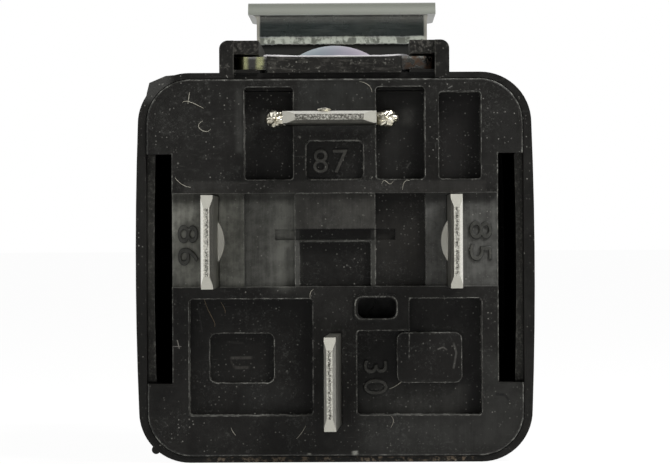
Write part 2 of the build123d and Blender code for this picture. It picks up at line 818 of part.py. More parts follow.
with BuildPart() as moving_contact:
    with BuildSketch(armature_plane.offset(-armature_thickness)):
        with Locations((top_blade_shift, contact_reach)):
            Circle(contact_radius)
    extrude(amount=moving_contact_height)
    with BuildSketch(armature_plane.offset(-armature_thickness)):
        with Locations((top_blade_shift, contact_reach)):
            Circle(contact_shank)
    extrude(amount=-strip_thickness)
    with BuildSketch(armature_plane.offset(-strip_back)):
        with Locations((top_blade_shift, contact_reach)):
            Circle(back_head)
    extrude(amount=-rivet_head)
moving_contact.part.label = "moving_contact"
export_step(moving_contact.part, "parts/moving_contact.step")

with BuildPart() as spring_rivets:
    with BuildSketch(armature_plane):
        with Locations((0, rivet_row)):
            with GridLocations(rivet_spacing, 0, 2, 1):
                Circle(rivet_radius)
    extrude(amount=-strip_back)
    with BuildSketch(armature_plane.offset(-strip_back)):
        with Locations((0, rivet_row)):
            with GridLocations(rivet_spacing, 0, 2, 1):
                Circle(rivet_head_radius)
    extrude(amount=-rivet_head)
spring_rivets.part.label = "spring_rivets"
export_step(spring_rivets.part, "parts/spring_rivets.step")

# Stop plate: foot in the base, hook over the back of the moving contact
with BuildPart() as back_stop:
    stop_left = top_blade_shift - stop_plate_width / 2
    stop_top = stop_plate_height + shelf_thickness / 2
    with BuildSketch(into(base_back - stop_foot + press_gap)):
        with Locations((top_blade_shift, stop_plate_height)):
            Rectangle(stop_plate_width, shelf_thickness)
    extrude(amount=base_back - stop_foot + press_gap - stop_front - shelf_thickness)
    with BuildSketch(into(stop_front)):
        box_sketch(stop_left, stop_left + stop_plate_width, contact_height - back_head, stop_top)
    extrude(amount=-shelf_thickness)
back_stop.part.label = "back_stop"
export_step(back_stop.part, "parts/back_stop.step")

# Return spring: leaf on the back of the leg, hooked over the hinged edge
leaf_high = leg_height - press_gap
leaf_low = leaf_high - spring_thickness
with BuildPart() as return_spring:
    with BuildSketch(beside(0)):
        box_sketch(spring_start, hook_front + spring_thickness, leaf_low, leaf_high)
        box_sketch(hook_front, hook_front + spring_thickness, leaf_low, leg_height + spring_hook)
    extrude(amount=spring_width / 2, both=True)
    with Locations(spring_row):
        with GridLocations(rivet_spacing, 0, 2, 1):
            Hole(rivet_radius + press_gap)
return_spring.part.label = "return_spring"
export_step(return_spring.part, "parts/return_spring.step")

with BuildPart() as yoke_rivets:
    with BuildSketch(spring_row.offset(press_gap - rivet_depth)):
        with GridLocations(rivet_spacing, 0, 2, 1):
            Circle(rivet_radius)
    extrude(amount=rivet_depth + spring_thickness)
    with BuildSketch(spring_row.offset(spring_thickness + press_gap)):
        with GridLocations(rivet_spacing, 0, 2, 1):
            Circle(rivet_head_radius)
    extrude(amount=rivet_head)
yoke_rivets.part.label = "yoke_rivets"
export_step(yoke_rivets.part, "parts/yoke_rivets.step")
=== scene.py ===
import math

import bpy
import numpy as np
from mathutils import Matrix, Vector


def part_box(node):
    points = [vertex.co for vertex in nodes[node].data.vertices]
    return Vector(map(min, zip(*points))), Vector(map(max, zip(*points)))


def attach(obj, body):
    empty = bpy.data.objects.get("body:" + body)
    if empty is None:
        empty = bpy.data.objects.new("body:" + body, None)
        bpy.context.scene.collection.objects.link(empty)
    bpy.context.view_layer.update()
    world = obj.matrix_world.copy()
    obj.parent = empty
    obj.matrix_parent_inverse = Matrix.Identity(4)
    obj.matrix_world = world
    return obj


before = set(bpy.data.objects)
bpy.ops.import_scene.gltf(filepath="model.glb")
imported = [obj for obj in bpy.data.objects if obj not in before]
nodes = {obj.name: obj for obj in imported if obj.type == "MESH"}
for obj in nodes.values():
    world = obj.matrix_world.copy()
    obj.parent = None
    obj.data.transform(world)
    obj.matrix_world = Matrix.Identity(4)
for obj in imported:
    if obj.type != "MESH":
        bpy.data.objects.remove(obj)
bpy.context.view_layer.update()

# Plug-in relay lying on one flat side, seen straight onto its blades.
# Lengths in the dictionaries are millimetres; the mesh code turns them into metres.

mm = 0.001
baseLow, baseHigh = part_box("base")
middleHeight = (baseLow.z + baseHigh.z) / 2 / mm  # height of the middle of the base plate
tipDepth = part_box("terminal_87")[0].y / mm  # where the blades end, nearest the camera
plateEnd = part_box("bracket")[0].y / mm  # end of the bracket's plate, towards the camera

# Depth of the cover's rim, how far the face stands before it, and how deep its floors lie
levels = {
    "rim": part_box("cover")[0].y / mm,
    "faceProud": 0.25,
    "pit": 1.3,
    "recess": 0.5,
    "numberPit": 0.5,
}
faceDepth = levels["rim"] - levels["faceProud"]


# Shader maths: a Wire stands for one socket, and an expression on Wires adds its Math nodes
class Wire:
    def __init__(self, net, socket):
        self.net = net
        self.socket = socket

    def calc(self, operation, *others, clamp=False):
        inputs = {0: self}
        for place, other in enumerate(others, 1):
            inputs[place] = other
        settings = {"operation": operation, "use_clamp": clamp}
        return self.net.add("ShaderNodeMath", settings, inputs)

    def __add__(self, other):
        return self.calc("ADD", other)

    def __radd__(self, other):
        return self.calc("ADD", other)

    def __sub__(self, other):
        return self.calc("SUBTRACT", other)

    def __rsub__(self, other):
        return self.net.add("ShaderNodeMath", {"operation": "SUBTRACT"}, {0: other, 1: self})

    def __mul__(self, other):
        return self.calc("MULTIPLY", other)

    def __rmul__(self, other):
        return self.calc("MULTIPLY", other)

    def __abs__(self):
        return self.calc("ABSOLUTE")

    def clamped(self):
        return self.calc("ADD", 0.0, clamp=True)

    # 0 below low, 1 above high, smooth between
    def rise(self, low, high):
        settings = {"interpolation_type": "SMOOTHSTEP"}
        inputs = {"Value": self, "From Min": low, "From Max": high}
        return self.net.add("ShaderNodeMapRange", settings, inputs)


class Net:
    def __init__(self, tree):
        self.tree = tree

    # Adds a node: its settings first, then the values or links of its sockets
    def node(self, kind, settings=None, inputs=None):
        made = self.tree.nodes.new(kind)
        for key, value in (settings or {}).items():
            if key == "stops":
                ramp = made.color_ramp
                while len(ramp.elements) < len(value):
                    ramp.elements.new(0.5)
                for element, (place, colour) in zip(ramp.elements, value):
                    element.position = place
                    element.color = (*colour, 1)
            else:
                setattr(made, key, value)
        for key, value in (inputs or {}).items():
            if isinstance(value, Wire):
                self.tree.links.new(value.socket, made.inputs[key])
            elif made.inputs[key].type == "RGBA" and len(value) == 3:
                made.inputs[key].default_value = (*value, 1)
            else:
                made.inputs[key].default_value = value
        return made

    def add(self, kind, settings=None, inputs=None, output=0):
        made = self.node(kind, settings, inputs)
        return Wire(self, made.outputs[output])

    def mixColour(self, factor, first, second, blend="MIX"):
        settings = {"data_type": "RGBA", "blend_type": blend}
        inputs = {0: factor, 6: first, 7: second}
        return self.add("ShaderNodeMix", settings, inputs, output=2)

    # Place on the object in millimetres, and its three parts
    def place(self):
        coordinates = self.add("ShaderNodeTexCoord", output=3)
        scaled = self.add("ShaderNodeVectorMath", {"operation": "SCALE"}, {0: coordinates, "Scale": 1 / mm})
        parts = self.node("ShaderNodeSeparateXYZ", inputs={0: scaled})
        return scaled, [Wire(self, parts.outputs[i]) for i in range(3)]

    def stretched(self, vector, scale, turn=(0, 0, 0)):
        settings = {"vector_type": "POINT"}
        inputs = {"Vector": vector, "Scale": scale, "Rotation": [math.radians(a) for a in turn]}
        return self.add("ShaderNodeMapping", settings, inputs)

    def noise(self, vector, scale, detail=2.0, rough=0.5, warp=0.0):
        inputs = {"Vector": vector, "Scale": scale, "Detail": detail}
        inputs.update({"Roughness": rough, "Distortion": warp})
        return self.add("ShaderNodeTexNoise", {}, inputs)

    # Specks: cells of one size, of which a share holds a round or angular speck, faint or bright
    def specks(self, vector, scale, share, radius, shape="EUCLIDEAN"):
        cell = self.node("ShaderNodeTexVoronoi", {"distance": shape}, {"Vector": vector, "Scale": scale})
        distance = Wire(self, cell.outputs["Distance"])
        chance = self.add("ShaderNodeSeparateColor", {}, {0: Wire(self, cell.outputs["Color"])})
        faintest = 0.15
        kept = chance.calc("LESS_THAN", share) * (chance * ((1 - faintest) / share) + faintest)
        return (1 - distance.rise(radius * 0.4, radius)) * kept

    # 1 inside a box of the face, in millimetres from the middle of the base plate
    def inBox(self, parts, left, right, low, high, soft=0.08):
        across = parts[0]
        height = parts[2] - middleHeight
        inside = across.rise(left - soft, left + soft) * (1 - across.rise(right - soft, right + soft))
        return inside * height.rise(low - soft, low + soft) * (1 - height.rise(high - soft, high + soft))

    # Place on the face in millimetres from the middle of the base plate, as a flat vector
    def flat(self, vector):
        inputs = {0: vector, 1: (0, 0, middleHeight)}
        moved = self.add("ShaderNodeVectorMath", {"operation": "SUBTRACT"}, inputs)
        return self.add("ShaderNodeVectorMath", {"operation": "MULTIPLY"}, {0: moved, 1: (1, 0, 1)})

    # How far a place is from the outline of a rounded box: the length of what reaches past the
    # box of the corner centres, less the corner radius; good near the outline only
    def fromOutline(self, flat, left, right, low, high, corner):
        centre = ((left + right) / 2, 0, (low + high) / 2)
        inner = ((right - left) / 2 - corner, 0, (high - low) / 2 - corner)
        moved = self.add("ShaderNodeVectorMath", {"operation": "SUBTRACT"}, {0: flat, 1: centre})
        folded = self.add("ShaderNodeVectorMath", {"operation": "ABSOLUTE"}, {0: moved})
        past = self.add("ShaderNodeVectorMath", {"operation": "SUBTRACT"}, {0: folded, 1: inner})
        kept = self.add("ShaderNodeVectorMath", {"operation": "MAXIMUM"}, {0: past, 1: (0, 0, 0)})
        return self.add("ShaderNodeVectorMath", {"operation": "LENGTH"}, {0: kept}, output=1) - corner

    def bump(self, height, strength, distance):
        inputs = {"Height": height, "Strength": strength, "Distance": distance * mm}
        return self.add("ShaderNodeBump", {}, inputs)


def newMaterial(name):
    material = bpy.data.materials.new(name)
    material.use_nodes = True
    tree = material.node_tree
    tree.nodes.clear()
    net = Net(tree)
    return material, net


# Ends a material: constants sit on the shader's own sockets
def finishMaterial(net, inputs):
    shader = net.add("ShaderNodeBsdfPrincipled", {}, inputs)
    net.node("ShaderNodeOutputMaterial", {}, {"Surface": shader})


# Black moulded plastic with dust, scuffs and a fine grain
plasticLook = {
    "dark": (0.0036, 0.0033, 0.0027),
    "pale": (0.0112, 0.0108, 0.0096),
    "dust": (0.3, 0.295, 0.265),
    "film": (0.062, 0.063, 0.058),
    "scuff": (0.075, 0.074, 0.066),
    "shaded": (0.003, 0.0028, 0.0024),
    "wipedCorner": (-12.4, -6.4, 5.4, 12.4),
    "roughness": 0.38,
    "specular": 0.17,
    "grain": 8.0,
    "largeSpecks": 0.3,
    "smallSpecks": 0.45,
}


def plasticMaterial(name, look, faced=False, rimmed=False, figure=False):
    material, net = newMaterial(name)
    vector, parts = net.place()
    clouds = net.noise(vector, 0.32, 5.0, 0.62)
    grain = net.noise(vector, look["grain"], 3.0, 0.7)
    mottle = net.noise(vector, 1.6, 4.0, 0.65)
    tone = clouds.rise(0.36, 0.66) * 0.45 + mottle.rise(0.38, 0.68) * 0.35 + grain.rise(0.4, 0.75) * 0.35
    colour = net.mixColour(tone.clamped(), look["dark"], look["pale"])
    roughness = look["roughness"] + clouds * 0.12
    if faced:
        colour = addFaceTones(net, look, vector, parts, colour)
    # Scuffs: fine lines in two directions, in patches
    lines = net.noise(net.stretched(vector, (0.5, 1, 7.0), (0, 24, 0)), 1.0, 3.0, 0.6)
    across = net.noise(net.stretched(vector, (6.0, 1, 0.4), (0, -12, 0)), 1.0, 3.0, 0.6)
    patches = net.noise(vector, 0.18, 2.0)
    scuffs = (lines.rise(0.66, 0.74) + across.rise(0.68, 0.76)) * patches.rise(0.42, 0.62)
    colour = net.mixColour((scuffs * 0.3).clamped(), colour, look["scuff"])
    if faced:
        # Painted highlights along the edges of the face
        colour = addEdgeHighlights(net, faceEdgeHighlights, vector, parts, colour)
        colour = addMarks(net, faceMarks, vector, colour)
    if rimmed:
        colour = addRimTones(net, rimLook, vector, parts, colour)
    # Painted shade: the sides and rounded edges of a raised figure are painted darker than its front
    if figure:  # the sides and rounded edges of a raised figure are darker than its front
        facing = net.node("ShaderNodeNewGeometry")
        turned = net.node("ShaderNodeSeparateXYZ", inputs={0: Wire(net, facing.outputs["True Normal"])})
        sides = 1 - (Wire(net, turned.outputs[1]) * -1).rise(0.93, 0.998)
        colour = net.mixColour(sides * 0.85, colour, look["side"])
    # Dust in three sizes, thicker in some patches
    thick = net.noise(vector, 0.45, 3.0, 0.7).rise(0.4, 0.62) * 0.85 + 0.15
    large = net.specks(vector, 0.8, look["largeSpecks"], 0.1, "MANHATTAN")
    middling = net.specks(vector, 1.7, look["smallSpecks"], 0.16, "MANHATTAN")
    fine = net.specks(vector, 4.0, look["smallSpecks"], 0.26)
    dust = (large + middling * 0.85 + fine * 0.55) * thick
    colour = net.mixColour((dust * 0.9).clamped(), colour, look["dust"])
    height = grain * 0.4 + mottle * 0.5 + dust * 0.6
    normal = net.bump(height, 0.35, 0.03)
    finishMaterial(net, {
        "Base Color": colour,
        "Roughness": roughness + dust * 0.3,
        "Specular IOR Level": look["specular"],
        "Normal": normal,
    })
    return material


# Tones of the face: left, right, low and high of an area, softness, colour and strength
faceTones = (
    (-11.4, -6.3, -1.35, 5.16, 0.08, (0.135, 0.135, 0.118), 1.0),
    (-6.3, -2.8, -1.35, 5.16, 0.08, (0.1, 0.1, 0.09), 1.0),
    (-4.3, -2.8, -1.35, 5.16, 0.7, (0.14, 0.14, 0.125), 0.7),
    (-2.8, 2.8, 2.67, 5.16, 0.08, (0.038, 0.037, 0.033), 0.9),
    (2.8, 6.3, -1.35, 5.16, 0.08, (0.0165, 0.0155, 0.0135), 0.8),
    (-2.82, -2.48, -1.3, 2.6, 0.06, (0.06, 0.06, 0.055), 0.8),
    (2.48, 2.82, -1.3, 2.6, 0.06, (0.045, 0.045, 0.04), 0.7),
    (-2.5, 2.5, 1.75, 1.95, 0.06, (0.05, 0.05, 0.045), 0.7),
    (6.3, 11.4, -1.35, 5.16, 0.08, (0.078, 0.078, 0.073), 0.9),
    (-12.6, -6.6, 5.8, 12.4, 1.4, (0.012, 0.0118, 0.0108), 0.3),
    (3.4, 6.2, 6.3, 12.3, 0.3, (0.0125, 0.0122, 0.011), 0.8),
    (7.4, 10.0, 6.3, 12.0, 0.3, (0.0125, 0.0117, 0.011), 0.8),
    (-8.7, -4.4, -8.0, -4.7, 0.2, (0.0052, 0.0049, 0.0041), 0.85),
    (4.4, 8.7, -8.0, -4.7, 0.2, (0.0058, 0.0053, 0.0046), 0.85),
    (-5.1, -4.5, 9.8, 10.9, 0.25, (0.05, 0.049, 0.044), 0.5),
    (-6.85, -6.4, 8.0, 12.4, 0.2, (0.034, 0.034, 0.031), 0.6),
    (4.7, 6.0, 9.9, 11.1, 0.35, (0.05, 0.049, 0.044), 0.55),
    (-2.6, 2.7, 9.6, 12.9, 0.4, (0.0215, 0.022, 0.0205), 0.9),
    (10.3, 12.9, 5.6, 11.5, 0.5, (0.014, 0.0137, 0.0125), 0.7),
    (-10.5, 10.5, 5.15, 6.0, 0.12, (0.024, 0.023, 0.021), 0.75),
    (1.8, 12.0, -12.9, -10.3, 1.0, (0.023, 0.023, 0.021), 0.8),
    (10.2, 12.9, -12.0, -6.0, 0.7, (0.02, 0.02, 0.018), 0.7),
    (-6.5, -1.8, -10.2, -8.2, 0.6, (0.015, 0.015, 0.0138), 0.6),
    (1.7, 9.6, -10.2, -8.2, 0.5, (0.025, 0.0245, 0.022), 0.8),
)
# Dark corners where a wall shades the floor beside it: left, right, low, high and softness
faceShades = (
    (-3.5, -2.87, 6.1, 12.5, 0.25), (5.55, 6.27, 6.1, 12.5, 0.3), (9.4, 10.17, 6.1, 12.2, 0.3),
    (-6.2, -2.9, 11.9, 12.5, 0.2), (2.9, 6.2, 11.9, 12.5, 0.2), (7.2, 10.2, 11.5, 12.2, 0.2),
    (-2.3, -1.52, -10.2, -2.2, 0.3), (9.3, 10.17, -10.2, -2.2, 0.35), (3.3, 4.2, -8.0, -4.6, 0.3),
    (-10.1, -1.6, -2.9, -2.2, 0.25), (-4.9, -4.2, -8.0, -4.6, 0.25), (-2.8, 2.8, 1.8, 2.7, 0.08),
    (-11.4, -2.8, 4.6, 5.16, 0.25), (2.8, 11.4, 4.5, 5.16, 0.25),
)


def addFaceTones(net, look, vector, parts, colour):
    streaks = net.noise(net.stretched(vector, (2.6, 1, 0.14)), 1.0, 4.0, 0.65)
    fine = net.noise(net.stretched(vector, (9.0, 1, 0.5)), 1.0, 3.0, 0.6)
    blotches = net.noise(vector, 1.3, 4.0, 0.65)
    uneven = 0.42 + streaks.rise(0.35, 0.65) * 0.25 + fine.rise(0.4, 0.7) * 0.12
    uneven = uneven + blotches.rise(0.36, 0.64) * 0.36
    for left, right, low, high, soft, tone, strength in faceTones:
        area = net.inBox(parts, left, right, low, high, soft)
        colour = net.mixColour((area * uneven * strength).clamped(), colour, tone)
    wiped = net.noise(net.stretched(vector, (1.7, 1, 2.5), (0, 35, 0)), 1.0, 5.0, 0.78, 0.4)
    corner = net.inBox(parts, *look["wipedCorner"], 1.0)
    colour = net.mixColour((corner * wiped.rise(0.5, 0.74) * 0.26).clamped(), colour, look["film"])
    # Lint and fine scratches in patches
    lint = net.noise(vector, 4.6, 4.0, 0.8, 0.8).rise(0.52, 0.68)
    lint = lint * net.noise(vector, 0.42, 2.0).rise(0.46, 0.6)
    colour = net.mixColour((lint * 0.45).clamped(), colour, look["film"])
    shade = None
    for left, right, low, high, soft in faceShades:
        area = net.inBox(parts, left, right, low, high, soft)
        shade = area if shade is None else shade.calc("MAXIMUM", area)
    deep = parts[1].rise(faceDepth + 0.2, faceDepth + 0.45)
    return net.mixColour((shade * deep * 0.55).clamped(), colour, look["shaded"])


# Painted highlights along the edges of the face, where the edges would catch the light: left, right, low and
# high of a rounded box, its corner radius, then the line's width and strength, and the part of it that is
# shown as left, right, low and high
wholeFace = (-14, 14, -14, 14)
faceEdgeHighlights = (
    (-13.02, 13.02, -13.05, 13.05, 3.0, 0.05, 0.6, wholeFace),
    (-11.33, 11.33, -1.33, 5.16, 0.2, 0.035, 0.3, wholeFace),
    (-6.27, -2.87, 6.1, 12.53, 0.25, 0.05, 0.6, wholeFace),
    (2.87, 6.27, 6.1, 12.53, 0.25, 0.055, 0.8, wholeFace),
    (7.24, 10.17, 6.1, 12.17, 0.25, 0.05, 0.6, wholeFace),
    (-2.0, 2.0, 6.1, 8.8, 0.45, 0.055, 0.8, wholeFace),
    (-10.17, -1.58, -10.28, -2.17, 0.25, 0.055, 0.8, wholeFace),
    (-8.79, -4.29, -8.06, -4.58, 0.5, 0.045, 0.8, wholeFace),
    (1.46, 10.17, -10.28, -4.41, 0.25, 0.05, 0.75, (-14, 5.12, -14, 14)),
    (1.52, 10.17, -10.28, -2.17, 0.25, 0.05, 0.7, (5.12, 14, -14, 14)),
    (5.12, 10.4, -7.6, -2.17, 0.25, 0.045, 0.7, (4.9, 5.4, -6.4, -2.0)),
    (4.29, 8.79, -8.06, -4.58, 0.5, 0.045, 0.75, wholeFace),
    (1.38, 4.29, -3.62, -2.05, 0.5, 0.05, 0.75, wholeFace),
    (-2.8, 2.8, -1.33, 5.15, 0.2, 0.05, 0.6, (-14, 14, -1.2, 14)),
    (-2.48, 2.48, -1.6, 1.8, 0.2, 0.05, 0.5, (-14, 14, -1.2, 14)),
    (-6.36, 6.3, -1.33, 5.16, 0.2, 0.05, 0.5, (-14, 14, -1.2, 5.0)),
)
# Painted highlights along the edges of the two notches: place across, then low and high
notchEdgeHighlights = ((-11.33, -7.9, 7.9), (11.33, -7.9, 7.9))
edgeHighlightColour = (0.27, 0.27, 0.245)


def addEdgeHighlights(net, lines, vector, parts, colour):
    flat = net.flat(vector)
    broken = net.noise(vector, 1.5, 5.0, 0.8).rise(0.42, 0.64)
    nicks = net.noise(vector, 5.5, 3.0, 0.7).rise(0.36, 0.6)
    wavy = net.noise(vector, 3.6, 4.0, 0.75) * 0.14 - 0.07
    total = None
    for left, right, low, high, corner, width, strength, shown in lines:
        distance = abs(net.fromOutline(flat, left, right, low, high, corner) + wavy)
        line = (1 - distance.rise(width * 0.45, width * 1.25)) * strength
        if shown != wholeFace:
            line = line * net.inBox(parts, *shown, 0.05)
        total = line if total is None else total.calc("MAXIMUM", line)
    height = parts[2] - middleHeight
    for across, low, high in notchEdgeHighlights:
        distance = abs(parts[0] - across + wavy)
        line = (1 - distance.rise(0.03, 0.09)) * height.rise(low - 0.1, low)
        line = line * (1 - height.rise(high, high + 0.1))
        total = total.calc("MAXIMUM", line * 0.65)
    amount = total * (0.1 + broken * 0.9) * (0.35 + nicks * 0.65)
    return net.mixColour((amount * 0.95).clamped(), colour, edgeHighlightColour)


# Marks on the floors: start and end across and up, half width, colour and strength
faceMarks = (
    (-7.35, -6.33, -5.85, -6.3, 0.1, (0.05, 0.047, 0.042), 0.75),
    (-7.35, -6.5, -7.1, -6.98, 0.07, (0.035, 0.032, 0.028), 0.55),
    (-7.05, -7.0, -6.1, -7.0, 0.11, (0.04, 0.037, 0.033), 0.75),
    (-7.6, -5.2, -6.4, -5.3, 0.09, (0.02, 0.019, 0.017), 0.6),
    (1.15, -12.93, 1.5, -12.88, 0.14, (0.3, 0.3, 0.27), 0.9),
    (-2.0, -12.95, -1.75, -12.98, 0.08, (0.25, 0.25, 0.22), 0.8),
    (7.1, -5.75, 7.5, -5.6, 0.05, (0.075, 0.072, 0.065), 0.8),
    (7.5, -5.6, 7.75, -5.8, 0.05, (0.075, 0.072, 0.065), 0.7),
    (8.2, -5.3, 8.4, -6.0, 0.07, (0.07, 0.068, 0.062), 0.6),
    (8.4, -6.0, 8.2, -7.1, 0.07, (0.07, 0.068, 0.062), 0.6),
    (11.1, -8.85, 11.7, -8.9, 0.1, (0.003, 0.003, 0.003), 0.8),
    (11.7, -8.9, 12.05, -9.3, 0.08, (0.003, 0.003, 0.003), 0.8),
    (-11.0, -5.0, -10.85, -5.6, 0.035, (0.2, 0.19, 0.17), 0.9),
    (-11.35, -5.45, -10.7, -5.45, 0.025, (0.16, 0.15, 0.14), 0.8),
    (5.0, 6.9, 5.3, 7.3, 0.03, (0.1, 0.1, 0.09), 0.6),
    (-9.6, -2.5, -9.3, -4.5, 0.05, (0.03, 0.03, 0.027), 0.6),
    (7.9, 12.4, 8.2, 12.55, 0.04, (0.12, 0.12, 0.11), 0.6),
)


# A mark is where a place lies near the straight stretch between two points
def addMarks(net, marks, vector, colour):
    flat = net.flat(vector)
    worn = net.noise(vector, 4.0, 3.0, 0.7).rise(0.3, 0.6)
    for x0, z0, x1, z1, half, tone, strength in marks:
        length = math.hypot(x1 - x0, z1 - z0)
        way = ((x1 - x0) / length, 0, (z1 - z0) / length)
        aside = (-way[2], 0, way[0])
        moved = net.add("ShaderNodeVectorMath", {"operation": "SUBTRACT"}, {0: flat, 1: (x0, 0, z0)})
        along, across = [
            net.add("ShaderNodeVectorMath", {"operation": "DOT_PRODUCT"}, {0: moved, 1: line}, output=1)
            for line in (way, aside)
        ]
        near = 1 - abs(across).rise(half * 0.4, half * 1.5)
        mark = near * (1 - abs(along - length / 2).rise(length / 2 - half, length / 2 + half))
        colour = net.mixColour((mark * (0.45 + worn * 0.55) * strength).clamped(), colour, tone)
    return colour


# Rim and guide of the cover: painted highlight lines along the inner edge beside the notches, seams of the
# guide arms, stippled hook faces, painted glints beside the notches, painted shade on the left side, and
# brown dirt along the lower edge
rimLook = {
    "line": (0.12, 0.118, 0.105),
    "dirt": (0.13, 0.1, 0.07),
    "stipple": (0.06, 0.057, 0.05),
    "glintAndScratch": (0.17, 0.165, 0.145),
    "hollow": (0.008, 0.0077, 0.0066),
    "worn": (0.05, 0.05, 0.047),
    "mouth": (-12.85, 12.8, -12.9, 12.9, 3.0),  # left, right, low, high and corner radius
    "seam": 7.0,
    "hook": 6.2,
    "arm": 7.3,
    "ledge": 12.5,
    "lug": (-13.9, -11.4, 11.6, 13.6),
    "gapBelow": 13.33,
}


def addRimTones(net, look, vector, parts, colour):
    height = parts[2] - middleHeight
    flat = net.flat(vector)
    wavy = net.noise(vector, 2.6, 3.0, 0.6) * 0.1 - 0.05
    broken = net.noise(vector, 1.6, 4.0, 0.75).rise(0.36, 0.6)
    front = 1 - parts[1].rise(levels["rim"] + 0.15, levels["rim"] + 0.6)
    # Painted highlight lines along the inner edge of the mouth beside the notches, and light lines on the
    # seams of the guide arms
    inner = abs(net.fromOutline(flat, *look["mouth"]) + wavy)
    line = (1 - inner.rise(0.03, 0.09)) * (1 - abs(height).rise(7.7, 7.95))
    seams = abs(abs(parts[0]) - look["seam"]) + wavy * 0.5
    line = line + (1 - seams.rise(0.02, 0.07)) * height.rise(13.2, 13.6) * 0.7
    colour = net.mixColour((line * front * (0.3 + broken * 0.7) * 0.6).clamped(), colour, look["line"])
    hooks = (1 - abs(abs(parts[0]) - look["hook"]).rise(0.9, 1.1)) * height.rise(14.7, 14.95)
    pebbles = net.noise(vector, 4.2, 4.0, 0.75).rise(0.48, 0.62)
    colour = net.mixColour((hooks * 0.6).clamped(), colour, look["hollow"])
    colour = net.mixColour((hooks * pebbles * 0.85).clamped(), colour, look["stipple"])
    # Painted glints along the inner edge of the step beside each notch
    step = abs(parts[0]).rise(12.3, 12.4) * (1 - abs(parts[0]).rise(13.0, 13.1))
    step = step * (1 - abs(height).rise(7.8, 7.95))
    step = step * (1 - parts[1].rise(-11.2, -11.0))
    glints = net.noise(vector, 5.0, 3.0, 0.8).rise(0.5, 0.62)
    edge = 1 - abs(abs(parts[0]) - look["ledge"]).rise(0.05, 0.2)
    colour = net.mixColour((step * (0.1 + glints * (0.3 + edge * 0.6))).clamped(), colour, look["glintAndScratch"])
    # Scratches on the rib and nicks on the guide arms, in the same pale colour as the painted glints
    rib = (1 - abs(parts[0]).rise(4.6, 4.7)) * height.rise(13.5, 13.6)
    scrapes = net.noise(net.stretched(vector, (0.8, 1, 4.0), (0, 50, 0)), 1.0, 4.0, 0.7).rise(0.5, 0.66)
    nicks = net.noise(vector, 3.0, 4.0, 0.8).rise(0.56, 0.68)
    colour = net.mixColour((rib * (0.05 + scrapes * 0.5)).clamped(), colour, look["stipple"])
    colour = net.mixColour((rib * nicks * 0.5).clamped(), colour, look["glintAndScratch"])
    arms = (1 - abs(abs(parts[0]) - look["arm"]).rise(0.9, 1.1)) * height.rise(13.4, 14.0)
    colour = net.mixColour((arms * front * nicks * 0.3).clamped(), colour, look["glintAndScratch"])
    lug = net.inBox(parts, *look["lug"], 0.4) * front
    colour = net.mixColour((lug * 0.6).clamped(), colour, look["worn"])
    shaded = (1 - parts[0].rise(-13.1, -12.9)) * (1 - abs(height).rise(10.5, 11.5)) * front
    colour = net.mixColour(shaded * 0.5, colour, look["hollow"])
    crumbs = net.noise(vector, 2.4, 4.0, 0.75).rise(0.5, 0.6)
    gap = (1 - abs(height + look["gapBelow"]).rise(0.12, 0.28)) * (1 - abs(parts[0] - 0.4).rise(8.5, 9.8))
    return net.mixColour((gap * crumbs * front * 0.8).clamped(), colour, look["dirt"])


# Tin on the blades: smooth grey flanks, bright bevels, sheared ends dark and gritty along the middle
# between two bright ridges, and matte corners
tinLook = {
    "flank": (0.46, 0.45, 0.4),
    "flankDark": (0.17, 0.165, 0.145),
    "bright": (0.8, 0.785, 0.71),
    "matte": (0.38, 0.372, 0.325),
    "sheared": (0.1, 0.096, 0.08),
    "ridge": (0.58, 0.57, 0.5),
    "foot": (0.5, 0.49, 0.44),
    "ridgeFrom": (0.06, 0.11),
    "lines": {"terminal_86": 0.02, "terminal_85": 0.0, "terminal_30": 0.0},  # shift of the dark line
    "stain": (0.07, 0.06, 0.045),
    "roughness": 0.3,
    "tipZone": 2.2,
}


